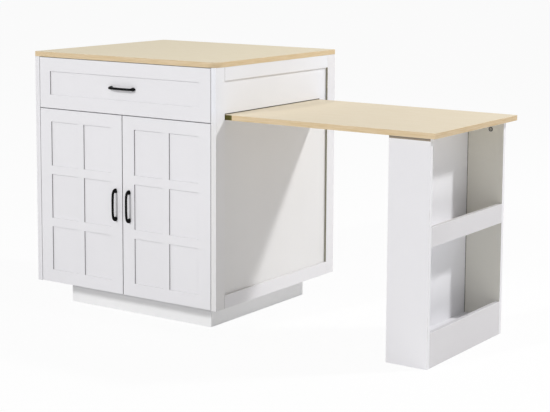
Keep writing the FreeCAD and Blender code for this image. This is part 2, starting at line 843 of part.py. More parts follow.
def leg_panel(label, y, faces_back):
    """Upright of the shelf unit, bored for the cam that ties it to the leaf."""
    body = new_body(label, LEG_REAR, y, "0")
    sketch = new_sketch(body, "XZ_Plane")
    rectangle(sketch, None, None, "leg_deep", LEAF_LOW)
    pad(body, sketch, "leg_board", against=True)
    bore = new_sketch(body, "XZ_Plane", "0 - leg_board" if faces_back else None)
    circle(bore, "leg_deep - cam_from_face", f"{LEAF_LOW} - cam_below_leaf", "cam_rad + cam_play")
    pocket(body, bore, "cam_deep + cam_play", along=faces_back)
    keep(body, label)


def leg_cam(name, y, turn):
    """Round cam with a cross slot, flush with the upright's inner face."""
    body = new_body(name, f"{LEG_FACE} - cam_from_face", y, f"{LEAF_LOW} - cam_below_leaf", turn)
    disc = new_sketch(body, "XY_Plane")
    circle(disc, None, None, "cam_rad")
    pad(body, disc, "cam_deep")
    for long, short in (("cam_cross", "cam_slot"), ("cam_slot", "cam_cross")):
        slot = new_sketch(body, "XY_Plane")
        centred_rectangle(slot, long, short)
        pocket(body, slot, "cam_slot", along=True)
    return body


def leg_unit():
    """Open shelf unit under the leaf's end, facing away from the cabinet."""
    near = (LEG_NEAR, f"{LEG_NEAR} + leg_board")
    far = (f"{LEG_FAR} - leg_board", LEG_FAR)
    between = (near[1], far[0])
    leg_panel("leg_near_panel", near[0], faces_back=True)
    leg_panel("leg_far_panel", far[0], faces_back=False)
    front = (f"{LEG_FACE} - leg_board", LEG_FACE)
    shelf_x = (f"{LEG_REAR} + leg_board", front[0])
    board("leg_back_panel", (LEG_REAR, shelf_x[0]), between, ("0", LEAF_LOW))
    board("leg_mid_shelf", shelf_x, between, ("mid_rail_low", "mid_rail_low + leg_board"))
    board("leg_mid_rail", front, between, ("mid_rail_low", "mid_rail_low + mid_rail_tall"))
    board("leg_low_shelf", shelf_x, between, ("low_shelf_top - leg_board", "low_shelf_top"))
    board("leg_low_rail", front, between, ("0", "foot_rail_tall"))
    to_front = FreeCAD.Rotation(FreeCAD.Vector(1, 0, 0), 90)
    cams = [
        leg_cam("near_cam", near[1], to_front),
        leg_cam("far_cam", far[0], AXIS_TO_Y),
    ]
    group("leg_cams", cams)


# ------------------------------------------------------------------ build

worktop()
side_panel("left_side_panel", f"{LEFT} + frame_thick", slotted=False)
side_panel("right_side_panel", IN_RIGHT, slotted=True)
side_frame("left", LEFT)
side_frame("right", f"{RIGHT} - frame_thick")
carcass()
plinth()
adjustable_shelf()
hinge_mounts()
runners("left")
runners("right")
drawer_front()
drawer_box()
door("left")
door("right")
leaf()
leg_unit()
doc.recompute()

for item in doc.Objects:
    if "Invalid" in item.State or "Error" in item.State:
        raise RuntimeError(item.Name + " failed: " + str(item.State))
for item in NODES:
    if item.Shape.isNull() or not item.Shape.isValid():
        raise RuntimeError(item.Label + " has no valid shape")
for item in NODES:
    item.Shape.exportStep("parts/" + item.Label + ".step")
print(len(NODES), "sub-parts")
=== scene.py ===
import json
import math

import bmesh
import bpy
from mathutils import Matrix, Vector


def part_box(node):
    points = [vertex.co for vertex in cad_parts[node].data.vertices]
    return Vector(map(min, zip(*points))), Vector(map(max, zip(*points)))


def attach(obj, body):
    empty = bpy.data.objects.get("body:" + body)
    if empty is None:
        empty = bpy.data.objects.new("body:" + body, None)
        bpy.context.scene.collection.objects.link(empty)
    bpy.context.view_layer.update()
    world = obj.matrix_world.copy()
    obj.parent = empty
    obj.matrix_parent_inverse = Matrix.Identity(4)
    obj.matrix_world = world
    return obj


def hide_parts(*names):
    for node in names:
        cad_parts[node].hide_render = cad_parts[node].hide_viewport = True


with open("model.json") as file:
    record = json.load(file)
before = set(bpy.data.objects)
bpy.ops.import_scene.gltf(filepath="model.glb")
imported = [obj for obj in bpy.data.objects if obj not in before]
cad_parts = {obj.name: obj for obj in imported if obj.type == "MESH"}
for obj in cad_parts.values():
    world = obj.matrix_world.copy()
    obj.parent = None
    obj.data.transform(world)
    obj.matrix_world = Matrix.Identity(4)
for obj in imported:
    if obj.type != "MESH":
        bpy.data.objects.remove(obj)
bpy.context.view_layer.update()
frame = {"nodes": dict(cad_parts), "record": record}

# Looks of a kitchen island with a pull-out table leaf. The frame's boards get their finishes and small
# roundings, and some finishes paint light or shade, as their comments say. The pulls, their screws and the
# shelf unit's cams are replaced by finer pieces, and the hinges' screws and a dark strip in the slot, which
# paints the shade over the leaf, are added. Lengths are in metres, or in millimetres where a comment or a
# name says so.

X, Y, Z = 0, 1, 2

# ------------------------------------------------------------------ camera

IMAGE_WIDE_PX = 550
IMAGE_TALL_PX = 412
FOCAL_PX = 1468.3
CENTRE_Y_PX = 120.0
SENSOR_WIDE_MM = 36
VIEW_DEPTH = 60
CAMERA_AT = Vector((2.8506, -4.1722, 1.3250))
CAMERA_AZIMUTH = math.radians(34.2917)
CAMERA_ELEVATION = math.radians(7.1562)
CAMERA_ROLL = math.radians(0.3003)


def add_camera():
    """Camera at the photograph's viewpoint, level but for a small roll, with a vertical shift."""
    data = bpy.data.cameras.new("camera")
    data.sensor_fit = "HORIZONTAL"
    data.sensor_width = SENSOR_WIDE_MM
    data.lens = FOCAL_PX / IMAGE_WIDE_PX * SENSOR_WIDE_MM
    data.shift_y = (CENTRE_Y_PX - IMAGE_TALL_PX / 2) / IMAGE_WIDE_PX
    data.clip_end = VIEW_DEPTH
    back = Vector((
        math.sin(CAMERA_AZIMUTH) * math.cos(CAMERA_ELEVATION),
        -math.cos(CAMERA_AZIMUTH) * math.cos(CAMERA_ELEVATION),
        math.sin(CAMERA_ELEVATION),
    ))
    right = Vector((0, 0, 1)).cross(back).normalized()
    up = back.cross(right)
    turn = Matrix((right, up, back)).transposed() @ Matrix.Rotation(CAMERA_ROLL, 3, "Z")
    camera = bpy.data.objects.new("camera", data)
    camera.matrix_world = Matrix.Translation(CAMERA_AT) @ turn.to_4x4()
    bpy.context.scene.collection.objects.link(camera)
    bpy.context.scene.camera = camera


add_camera()

# --------------------------------------------------------------- materials

# Sockets of a Mix node for colours.
MIX_FACTOR, MIX_FIRST, MIX_SECOND, MIX_RESULT = 0, 6, 7, 2


def rgb(code):
    """Linear colour, with its alpha, of an sRGB hex code."""
    out = []
    for index in (0, 2, 4):
        part = int(code[index:index + 2], 16) / 255
        out.append(part / 12.92 if part <= 0.04045 else ((part + 0.055) / 1.055) ** 2.4)
    return (*out, 1.0)


class Shader:
    """A node material with one Principled shader and a few shorthands.

    Its patterns lie in the object's own coordinates. A value or factor is a number, a
    colour from rgb() or another node's output, and a mask is 1 where it holds and else 0.
    """

    def __init__(self, name):
        self.material = bpy.data.materials.new(name)
        self.material.use_nodes = True
        self.tree = self.material.node_tree
        self.shader = self.tree.nodes["Principled BSDF"]
        coordinates = self.node("ShaderNodeTexCoord")
        self.place = coordinates.outputs["Object"]
        self.normal = coordinates.outputs["Normal"]

    def node(self, kind, **values):
        """A new node with these attributes."""
        item = self.tree.nodes.new(kind)
        for key, value in values.items():
            setattr(item, key, value)
        return item

    def feed(self, socket, value):
        """Links or sets a socket."""
        if isinstance(value, bpy.types.NodeSocket):
            self.tree.links.new(value, socket)
        else:
            socket.default_value = value

    def set(self, name, value):
        """Links or sets one of the Principled shader's sockets."""
        self.feed(self.shader.inputs[name], value)

    def rough(self, low, high, scale, detail=2.0):
        """Roughness that drifts between two values."""
        self.set("Roughness", self.span(self.noise(scale, detail), low, high))

    def relief(self, microns, scale, detail=2.0):
        """Fine bumps."""
        item = self.node("ShaderNodeBump")
        item.inputs["Distance"].default_value = microns / 1e6
        self.feed(item.inputs["Height"], self.noise(scale, detail))
        self.set("Normal", item.outputs["Normal"])

    def noise(self, scale, detail=2.0, stretch=None):
        """Noise of about scale cells to a metre, or scale times stretch along each axis."""
        source = self.place
        if stretch is not None:
            mapping = self.node("ShaderNodeMapping")
            mapping.inputs["Scale"].default_value = stretch
            self.feed(mapping.inputs["Vector"], source)
            source = mapping.outputs["Vector"]
        item = self.node("ShaderNodeTexNoise")
        item.inputs["Scale"].default_value = scale
        item.inputs["Detail"].default_value = detail
        self.feed(item.inputs["Vector"], source)
        return item.outputs["Fac"]

    def span(self, value, low=0.0, high=1.0, start=0.3, end=0.7):
        """Maps start..end, by default a noise's middle stretch, to low..high."""
        item = self.node("ShaderNodeMapRange")
        item.inputs["From Min"].default_value = start
        item.inputs["From Max"].default_value = end
        item.inputs["To Min"].default_value = low
        item.inputs["To Max"].default_value = high
        self.feed(item.inputs["Value"], value)
        return item.outputs["Result"]

    def mix(self, factor, first, second):
        """The first colour where the factor is 0, the second where it is 1."""
        item = self.node("ShaderNodeMix", data_type="RGBA")
        for index, value in ((MIX_FACTOR, factor), (MIX_FIRST, first), (MIX_SECOND, second)):
            self.feed(item.inputs[index], value)
        return item.outputs[MIX_RESULT]

    def tones(self, factor, first, second):
        """Mix of two colours given as hex codes."""
        return self.mix(factor, rgb(first), rgb(second))

    def math(self, operation, first, second):
        """Result of a Math node."""
        item = self.node("ShaderNodeMath", operation=operation)
        self.feed(item.inputs[0], first)
        self.feed(item.inputs[1], second)
        return item.outputs[0]

    def either(self, first, second):
        """Mask where at least one of two masks holds."""
        return self.math("MAXIMUM", first, second)

    def both(self, first, second):
        """Mask where two masks hold."""
        return self.math("MULTIPLY", first, second)

    def without(self, first, second):
        """Mask where the first of two masks holds and the second doesn't."""
        return self.math("MAXIMUM", self.math("SUBTRACT", first, second), 0.0)

    def along(self, axis, vector=None):
        """One coordinate of a vector, by default of the place on the object."""
        split = self.node("ShaderNodeSeparateXYZ")
        self.feed(split.inputs[0], self.place if vector is None else vector)
        return split.outputs[axis]

    def facing(self, axis, sign=1, least=0.7):
        """Mask of the surfaces that face along an axis, or against it where sign is -1."""
        share = self.math("MULTIPLY", self.along(axis, self.normal), sign)
        return self.math("GREATER_THAN", share, least)

    def within(self, axis, low, high):
        """Mask between two values along an axis."""
        value = self.along(axis)
        return self.both(self.math("GREATER_THAN", value, low), self.math("LESS_THAN", value, high))

    def raw_fibres(self):
        """Greenish grey brown of raw fibreboard."""
        return self.tones(self.span(self.noise(700.0, 3.0)), "A7A693", "85836C")


class Lacquer(Shader):
    """Satin lacquer on board: orange peel and an uneven sheen.

    Its other methods finish a part of the board in another way and give the lacquer back; all but raw()
    paint light or shade on it. done() gives the material.
    """

    def __init__(self, name, light, dark):
        super().__init__(name)
        self.colour = self.uneven(light, dark)

    def uneven(self, light, dark):
        """White with large soft clouds and fine specks."""
        cloud = self.tones(self.span(self.noise(2.6, 3.0)), light, dark)
        return self.mix(self.span(self.noise(420.0, 3.0), high=0.35), cloud, rgb(dark))

    def cover(self, share, colour):
        """Another colour over the ones so far, where share is 1."""
        self.colour = self.mix(share, self.colour, colour)
        return self

    def above(self, start, end, light, dark):
        """Other tones, which come in between two heights: painted light over the leaf, painted shadow on the
        plinth.
        """
        rise = self.span(self.along(Z), start=start, end=end)
        return self.cover(rise, self.uneven(light, dark))

    def inner(self, light, dark):
        """Painted shade: warmer, darker tones on the face towards -Y, as the warm shade under the leaf."""
        return self.cover(self.facing(Y, -1), self.uneven(light, dark))

    def joint(self, axis, low, high, dark):
        """Painted shade: a dark line on the face towards -Y, between two values along an axis."""
        return self.cover(self.both(self.facing(Y, -1), self.within(axis, low, high)), rgb(dark))

    def raw(self, axis, sign):
        """Raw board on the face in one direction."""
        return self.cover(self.facing(axis, sign), self.raw_fibres())

    def shade_field_walls(self, low, high):
        """Painted shade on the walls of sunk fields, between two depths along Y.

        They are painted grey, except where they face up and light falls on them.
        """
        lit_faces = self.either(self.facing(Y, -1), self.facing(Z))
        wall = self.without(self.within(Y, low, high), lit_faces)
        return self.cover(wall, self.tones(self.span(self.noise(240.0, 3.0)), "9C9A9D", "8C8A8D"))

    def sawn_and_shaded(self, along, up):
        """Raw walls of a slot through a board across X, from its stretches along Y and Z, painted far darker
        than raw board, as the shade inside the slot.
        """
        outside = self.either(self.facing(X, least=0.97), self.facing(X, -1, least=0.97))
        wall = self.without(self.both(self.within(Z, *up), self.within(Y, *along)), outside)
        return self.cover(wall, self.tones(self.noise(500.0), "4C4A23", "3B391A"))

    def done(self):
        """The finished material."""
        self.set("Base Color", self.colour)
        self.rough(0.36, 0.48, 38.0)
        self.relief(30, 650.0, 1.0)
        return self.material


def rubbed_edge(name, joint=None):
    """The lacquer on a board's rounded edges, rubbed brighter and glossier in places.

    The colour after name, where given, is painted shade on the edges towards Y and -Y, where a rail meets
    the stiles.
    """
    s = Shader(name)
    worn = s.span(s.noise(30.0, 4.0), start=0.45, end=0.7)
    colour = s.tones(worn, "F3F3F5", "E9E8E6")
    if joint is not None:
        ends = s.either(s.facing(Y, least=0.25), s.facing(Y, -1, least=0.25))
        colour = s.mix(ends, colour, rgb(joint))
    s.set("Base Color", colour)
    s.rough(0.26, 0.4, 60.0)
    s.relief(30, 900.0)
    return s.material


def laminate(name, light, dark, specks, end_band=None, raw_until=None):
    """Pale cream laminate with a faint grain along X, and a tan band on the narrow faces.

    end_band holds the colours of the band on the face towards X. Up to raw_until along
    X there is raw board in the band's place.
    """
    s = Shader(name)
    grain = s.span(s.noise(9.0, 6.0, stretch=(1.0, 26.0, 26.0)), start=0.35, end=0.65)
    sheet = s.mix(s.span(s.noise(1100.0), high=0.5), s.tones(grain, light, dark), rgb(specks))
    band_grain = s.span(s.noise(16.0, 5.0, stretch=(1.0, 1.0, 22.0)), start=0.35, end=0.65)
    band = s.tones(band_grain, "E2CCAA", "D8BF96")
    if end_band is not None:
        band = s.mix(s.facing(X), band, s.tones(band_grain, *end_band))
    if raw_until is not None:
        raw = s.math("LESS_THAN", s.along(X), raw_until)
        band = s.mix(raw, band, s.tones(s.noise(600.0), "706A32", "625E2A"))
    s.set("Base Color", s.mix(s.either(s.facing(Z), s.facing(Z, -1)), band, sheet))
    s.rough(0.6, 0.72, 55.0)
    s.set("Specular IOR Level", 0.3)
    s.relief(30, 1400.0)
    return s.material


def band_edge():
    """The rounded arris between the laminate and its band, a little paler where it is rubbed."""
    s = Shader("laminate_edge")
    worn = s.span(s.noise(45.0, 4.0), start=0.45, end=0.65)
    s.set("Base Color", s.tones(worn, "E2CFAC", "E8DABD"))
    s.rough(0.32, 0.45, 70.0)
    s.relief(30, 900.0)
    return s.material


def raw_board():
    """Raw fibreboard: matt and fibrous."""
    s = Shader("raw_fibreboard")
    s.set("Base Color", s.raw_fibres())
    s.rough(0.78, 0.92, 200.0)
    s.relief(100, 1500.0, 4.0)
    return s.material


def melamine(name, light, dark, pitch):
    """Faced board with a fine pearl embossing."""
    s = Shader(name)
    s.set("Base Color", s.tones(s.span(s.noise(5.0, 3.0)), light, dark))
    s.rough(0.42, 0.56, 90.0)
    s.relief(50, pitch, 1.0)
    return s.material


def black_coat():
    """Satin black coating with a fine texture, rubbed to a dark grey here and there."""
    s = Shader("black_coat")
    worn = s.span(s.noise(90.0, 4.0), start=0.6, end=0.75)
    s.set("Base Color", s.tones(worn, "060607", "131315"))
    s.rough(0.26, 0.38, 160.0)
    s.set("Specular IOR Level", 0.08)
    s.relief(20, 2200.0)
    return s.material


def zinc():
    """Zinc plated steel: fine drawn lines, cloudy sheen."""
    s = Shader("zinc_plated_steel")
    lines = s.span(s.noise(160.0, 3.0, stretch=(1.0, 0.08, 1.0)))
    s.set("Base Color", s.tones(lines, "B4B6B9", "9B9DA1"))
    s.set("Metallic", 1.0)
    s.rough(0.24, 0.42, 60.0, 4.0)
    s.relief(20, 1800.0)
    return s.material


def shade_strip_finish():
    """Dark strip's matt, fibrous finish: a dark sheet that paints the shade in the slot over the leaf."""
    s = Shader("shade_strip_finish")
    s.set("Base Color", s.tones(s.span(s.noise(900.0, 4.0)), "2E2C1B", "201F13"))
    s.rough(0.85, 1.0, 700.0)
    s.set("Specular IOR Level", 0.1)
    s.relief(100, 2500.0, 4.0)
    return s.material


def cast_zinc():
    """The cams' pale die-cast discs."""
    s = Shader("cast_zinc")
    s.set("Base Color", s.tones(s.span(s.noise(400.0, 3.0)), "D9D7D0", "CBC9C2"))
    s.set("Metallic", 0.25)
    s.rough(0.45, 0.6, 300.0)
    s.relief(20, 1800.0)
    return s.material


def cam_rim_shade():
    """The cams' dark rim, dark as painted shade of the gap round each disc."""
    s = Shader("cam_rim_shade")
    s.set("Base Color", s.tones(s.span(s.noise(500.0)), "1E1C1B", "151413"))
    s.set("Specular IOR Level", 0.2)
    s.rough(0.4, 0.55, 300.0)
    s.relief(20, 1500.0)
    return s.material


# ---------------------------------------------------- what gets which finish

# Widths of the roundings, in millimetres.
FRONT_ROUNDING_MM = 0.35
BOARD_ROUNDING_MM = 0.8
TOP_ROUNDING_MM = 0.9
BOX_ROUNDING_MM = 0.5

# The slot in the right side panel with its roundings: how far it goes beyond the leaf in front, below and
# above, and under the rear stile. From these come its stretches along Y and Z.
SLOT_FRONT_ROOM = 0.0013
SLOT_LOW_ROOM = 0.0012
SLOT_HIGH_ROOM = 0.0034
SLOT_UNDER_STILE = 0.03
LEAF_LOW, LEAF_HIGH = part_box("leaf")
SLOT_ALONG = (LEAF_LOW[Y] - SLOT_FRONT_ROOM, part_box("right_rear_stile")[0][Y] + SLOT_UNDER_STILE)
SLOT_UP = (LEAF_LOW[Z] - SLOT_LOW_ROOM, LEAF_HIGH[Z] + SLOT_HIGH_ROOM)

# The sunk fields' walls along Y, from the fronts' rounding to just short of the fields, where shade is
# painted.
FIELD_DEPTH = 0.004
FIELD_SHORT = 0.00005
FRONT_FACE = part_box("drawer_front")[0][Y]
FIELD_WALLS = (FRONT_FACE + FRONT_ROUNDING_MM / 1000, FRONT_FACE + FIELD_DEPTH - FIELD_SHORT)

# The leaf's edge is raw inside the cabinet and a little beyond its side.
LEAF_RAW_BEYOND = 0.02
LEAF_RAW_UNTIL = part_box("right_front_stile")[1][X] + LEAF_RAW_BEYOND

PLINTH_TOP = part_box("plinth_front")[1][Z]
SHELF_BACK_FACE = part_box("leg_back_panel")[1][X]
UPRIGHT_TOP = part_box("leg_near_panel")[1][Z]

# Colours, after the heights or places that above() and the painted shade lines take with them.
PLAIN = ("EFEEF1", "EBEAED")
# Painted light: the right side's white is cooler and brighter over the leaf and warmer below it, where light
# off the leaf falls.
OVER_LEAF = (LEAF_LOW[Z] - 0.02, LEAF_HIGH[Z] + 0.02, "F4F5FA", "F0F1F6")
# Painted shadow of the cabinet on the plinth's upper part.
PLINTH_SHADE = (PLINTH_TOP - 0.033, PLINTH_TOP - 0.029, "E3E2E4", "DFDEE0")
# Painted shade: a dark line in the corner where the shelf unit's back panel meets its far side.
BACK_CORNER_SHADE = (SHELF_BACK_FACE, SHELF_BACK_FACE + 0.002, "6C6A66")
# Painted shadow: a dark band along the top of the shelf unit's near upright, under the leaf's edge.
UNDER_LEAF_SHADOW = (UPRIGHT_TOP - 0.0095, UPRIGHT_TOP + 0.001, "988C7D")

WHITE = Lacquer("white_lacquer", *PLAIN).done()
STILE = Lacquer("white_lacquer_raw_edge", *PLAIN).raw(Y, -1).done()
# The fronts: painted shade on the walls of their sunk fields.
FRONT = Lacquer("front_lacquer", "F0EFF2", "ECEBEE").shade_field_walls(*FIELD_WALLS).done()
# The plinth: a brighter copy of the white as painted light, with the cabinet's shadow painted on its upper
# part.
PLINTH = Lacquer("plinth_lacquer", "FBFBFB", "F8F8F8").above(*PLINTH_SHADE).done()
# The shelf unit's rails: a darker copy of the white, as painted shade.
RAIL = Lacquer("rail_lacquer", "DCDADC", "D7D5D7").done()
# The right side panel: painted shade on the slot's raw walls, and painted light over the leaf.
SLOTTED = Lacquer("slotted_lacquer", "EEEDED", "EAE9E9").above(*OVER_LEAF).sawn_and_shaded(SLOT_ALONG, SLOT_UP).done()
# Painted light over the leaf, as on the side panel.
SIDE = Lacquer("side_lacquer", "EFEEEF", "EBEAEB").above(*OVER_LEAF).done()
# The shelf unit's back panel: a brighter, cooler copy of the white, as painted light in its shade.
LEG_BACK = Lacquer("shelf_unit_back_lacquer", "F5F5F8", "F1F1F4").done()
# The shelf unit's far side: painted warm shade on its inner face, and painted shade in its back corner.
LEG_FAR = Lacquer("shelf_unit_side_lacquer", *PLAIN).inner("E4E2D9", "DEDCD2").joint(X, *BACK_CORNER_SHADE).done()
# The shelf unit's near upright: the leaf's shadow painted along its top.
LEG_NEAR = Lacquer("shelf_unit_near_lacquer", *PLAIN).joint(Z, *UNDER_LEAF_SHADOW).done()
EDGE = rubbed_edge("lacquer_edge")
# The cabinet's rails: painted shade on their rounded ends, where they meet the stiles.
RAIL_EDGE = rubbed_edge("rail_edge", joint="777579")
# The worktop's laminate: a lighter copy of the leaf's, as painted light.
CREAM = laminate("cream_laminate", "F0E5CD", "EBDFC3", "EEE2C6")
LEAF = laminate(
    "cream_laminate_raw_end", "EADEC8", "E5D8BE", "E8DBC1",
    end_band=("D6C1A2", "CAB18A"), raw_until=LEAF_RAW_UNTIL,
)
ARRIS = band_edge()
RAW = raw_board()
BOX = melamine("white_melamine", "E9E9E7", "E4E4E2", 900.0)
BACK = melamine("white_hardboard", "E3E3E2", "DFDFDD", 500.0)
BLACK = black_coat()
STEEL = zinc()
SHADE_STRIP = shade_strip_finish()
CAM = cast_zinc()
CAM_RIM_SHADE = cam_rim_shade()

BY_SLOT = {
    "white_board": WHITE,
    "cream_top": CREAM,
    "raw_board": RAW,
    "drawer_board": BOX,
    "back_board": BACK,
    "black_pull": BLACK,
    "steel": STEEL,
}
NODES_BY_FINISH = (
    (FRONT, ("drawer_front", "left_door", "right_door")),
    (SIDE, ("right_front_stile", "right_top_rail")),
    (STILE, ("right_rear_stile",)),
    (SLOTTED, ("right_side_panel",)),
    (PLINTH, ("plinth_front", "plinth_right", "plinth_left", "plinth_back")),
    (LEAF, ("leaf",)),
    (RAIL, ("leg_mid_rail", "leg_low_rail")),
    (LEG_BACK, ("leg_back_panel",)),
    (LEG_FAR, ("leg_far_panel",)),
    (LEG_NEAR, ("leg_near_panel",)),
)
BY_NODE = {name: finish for finish, names in NODES_BY_FINISH for name in names}
ROUNDINGS = {
    "white_board": (EDGE, BOARD_ROUNDING_MM),
    "cream_top": (ARRIS, TOP_ROUNDING_MM),
    "drawer_board": (EDGE, BOX_ROUNDING_MM),
}


def soften(item, edge_material, width_mm):
    """Rounds a board's sharp edges by modifiers; the roundings get a finish of their own."""
    weld = item.modifiers.new("weld", "WELD")
    weld.merge_threshold = 0.00001
    flatten = item.modifiers.new("flatten", "DECIMATE")
    flatten.decimate_type = "DISSOLVE"
    flatten.angle_limit = math.radians(1)
    bevel = item.modifiers.new("bevel", "BEVEL")
    bevel.width = width_mm / 1000
    bevel.segments = 2
    bevel.limit_method = "ANGLE"
    bevel.angle_limit = math.radians(40)
    bevel.use_clamp_overlap = False
    bevel.harden_normals = True
    item.data.materials.append(edge_material)
    bevel.material = 1


def rounding(name, slot):
    """Finish and width of a node's roundings, or None where it has none."""
    if BY_NODE.get(name) is FRONT:
        return FRONT, FRONT_ROUNDING_MM
    if BY_NODE.get(name) is SLOTTED:
        return SLOTTED, BOARD_ROUNDING_MM
    if name.endswith(("_top_rail", "_bottom_rail")):
        return RAIL_EDGE, BOARD_ROUNDING_MM
    return ROUNDINGS.get(slot)


def dress():
    """Gives every CAD node its finish, and the boards their small roundings."""
    for part in frame["record"]["subparts"]:
        name, slot = part["node"], part["material_slot"]
        item = frame["nodes"][name]
        item.data.materials.clear()
        item.data.materials.append(BY_NODE.get(name, BY_SLOT[slot]))
        edge = rounding(name, slot)
        if edge is not None:
            soften(item, *edge)


dress()

# ------------------------------------------------------------------ pieces


def add_piece(mesh, name, body, material, replaced=()):
    """A piece that rides on a body, and replaces CAD nodes where it names them."""
    mesh.materials.clear()
    mesh.materials.append(material)
    item = bpy.data.objects.new(name, mesh)
    bpy.context.scene.collection.objects.link(item)
    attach(item, body)
    if replaced:
        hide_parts(*replaced)


def mm(*values):
    """A vector given in millimetres."""
    return Vector([value / 1000 for value in values])


def middle(name, axis):
    """The middle of a node's box along an axis."""
    low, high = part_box(name)
    return (low[axis] + high[axis]) / 2


def looking(direction, at):
    """Place at a point with the local Z axis along a direction."""
    return Matrix.Translation(at) @ Vector(direction).to_track_quat("Z", "Y").to_matrix().to_4x4()


def new_mesh(bm, name):
    """A mesh from a bmesh, with its faces turned outwards."""
    bmesh.ops.recalc_face_normals(bm, faces=bm.faces)
    mesh = bpy.data.meshes.new(name)
    bm.to_mesh(mesh)
    bm.free()
    return mesh


def with_modifiers(mesh, *modifiers):
    """A new mesh: the given one after a list of (kind, values) modifiers."""
    item = bpy.data.objects.new("shape", mesh)
    bpy.context.scene.collection.objects.link(item)
    for kind, values in modifiers:
        modifier = item.modifiers.new(kind.lower(), kind)
        for key, value in values.items():
            setattr(modifier, key, value)
    graph = bpy.context.evaluated_depsgraph_get()
    made = bpy.data.meshes.new_from_object(item.evaluated_get(graph))
    bpy.data.objects.remove(item)
    return made


def smooth(mesh, angle=35):
    """Smooth shading, broken at edges sharper than the angle."""
    bm = bmesh.new()
    bm.from_mesh(mesh)
    for face in bm.faces:
        face.smooth = True
    for edge in bm.edges:
        edge.smooth = len(edge.link_faces) == 2 and edge.calc_face_angle(0) < math.radians(angle)
    bm.to_mesh(mesh)
    bm.free()
    return mesh


def joined(mesh, places, name):
    """One mesh with a copy of the given one at each place."""
    bm = bmesh.new()
    for place in places:
        copy = mesh.copy()
        copy.transform(place)
        bm.from_mesh(copy)
        bpy.data.meshes.remove(copy)
    made = bpy.data.meshes.new(name)
    bm.to_mesh(made)
    bm.free()
    return made


def tube(bm, rings):
    """Skin over rings with the same number of points, closed at both ends."""
    rings = [[bm.verts.new(point) for point in ring] for ring in rings]
    for first, second in zip(rings, rings[1:]):
        for side in range(len(first)):
            after = (side + 1) % len(first)
            bm.faces.new((first[side], first[after], second[after], second[side]))
    bm.faces.new(rings[0])
    bm.faces.new(rings[-1])


def turned(bm, profile, place, sides):
    """Adds a solid of revolution about the local Z axis.

    The profile's points are (radius, height) in millimetres. It starts and ends on the axis.
    """
    rings = []
    for radius, height in profile:
        radius, height = radius / 1000, height / 1000
        if radius == 0:
            rings.append([bm.verts.new(place @ Vector((0, 0, height)))] * sides)
            continue
        ring = []
        for index in range(sides):
            turn = 2 * math.pi * index / sides
            point = Vector((radius * math.cos(turn), radius * math.sin(turn), height))
            ring.append(bm.verts.new(place @ point))
        rings.append(ring)
    for low, high in zip(rings, rings[1:]):
        for index in range(sides):
            after = (index + 1) % sides
            corners = [low[index], low[after], high[after], high[index]]
            corners = [corner for at, corner in enumerate(corners) if corner not in corners[:at]]
            if len(corners) > 2:
                bm.faces.new(corners)


# Arched pulls, in millimetres: the bow, the feet and their blend are one casting. The bow's line is a
# superellipse that starts a little behind the seat.

PULL_RISE = 17.6
PULL_HALF = 53.0
PULL_BEHIND = 2.0
PULL_POWERS = (4.2, 3.4)
PULL_RADIUS = 4.3
PULL_SWELL = 0.3
PULL_FEET = 48.0
PULL_SEAT_CLEAR = 0.02
PULL_FOOT = [(0, 0), (6.7, 0), (6.7, 1.5), (6.4, 4.0), (6.0, 6.5), (5.4, 9.0), (4.4, 11.0), (0, 12.0)]


def bow_point(angle):
    """Centre line of the bow: a flat arch with round shoulders."""
    along, out = math.cos(angle), math.sin(angle)
    x = math.copysign(abs(along) ** (2 / PULL_POWERS[0]), along) * PULL_HALF
    return Vector((x, PULL_BEHIND - (PULL_RISE + PULL_BEHIND) * abs(out) ** (2 / PULL_POWERS[1]), 0))


def bow_ring(angle, sides=28, step=0.002):
    """Section of the bow across its line, a little thicker towards the feet."""
    ahead = bow_point(min(angle + step, math.pi)) - bow_point(max(angle - step, 0))
    out = Vector((ahead.y, -ahead.x, 0)).normalized()
    radius = PULL_RADIUS + PULL_SWELL * abs(math.cos(angle)) ** 3
    ring = []
    for side in range(sides):
        turn = 2 * math.pi * side / sides
        across = out * math.cos(turn) + Vector((0, 0, math.sin(turn)))
        ring.append((bow_point(angle) + across * radius) / 1000)
    return ring


def pull_mesh(steps=120):
    """Pull along X, its seat at y = 0 and its bow towards -Y."""
    bm = bmesh.new()
    tube(bm, [bow_ring(math.pi * step / steps) for step in range(steps + 1)])
    bmesh.ops.bisect_plane(
        bm, geom=bm.verts[:] + bm.edges[:] + bm.faces[:], plane_co=(0, 0, 0), plane_no=(0, 1, 0),
        clear_outer=True,
    )
    bmesh.ops.holes_fill(bm, edges=[edge for edge in bm.edges if edge.is_boundary])
    for side in (-1, 1):
        place = Matrix.Translation(mm(side * PULL_FEET, 0, 0)) @ Matrix.Rotation(math.radians(90), 4, "X")
        turned(bm, PULL_FOOT, place, 36)
    cast = with_modifiers(
        new_mesh(bm, "pull_rough"),
        ("REMESH", {"mode": "VOXEL", "voxel_size": 0.00045}),
        ("SMOOTH", {"factor": 0.5, "iterations": 7}),
        ("DECIMATE", {"ratio": 0.3}),
    )
    for vertex in cast.vertices:
        vertex.co.y = min(vertex.co.y, -PULL_SEAT_CLEAR / 1000)
    return smooth(cast, 60)


def add_pulls():
    """The pulls, each with its seat where its CAD node has it."""
    shape = pull_mesh()
    for node, body, upright in (
        ("drawer_handle", "drawer", False),
        ("left_door_handle", "left_door_leaf", True),
        ("right_door_handle", "right_door_leaf", True),
    ):
        seat = Vector((middle(node, X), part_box(node)[1][Y], middle(node, Z)))
        turn = Matrix.Rotation(math.radians(90), 4, "Y") if upright else Matrix()
        mesh = shape.copy()
        mesh.transform(Matrix.Translation(seat) @ turn)
        add_piece(mesh, node + "_cast", body, BLACK, (node,))


# Screws with a cross recess, in millimetres. A screw's head stands on z = 0, and its shank is below.

RIDGE_PITCH = 0.8
PULL_HEAD_TALL = 2.2
BIT_MOUTH, BIT_TIP = 1.1, 0.55


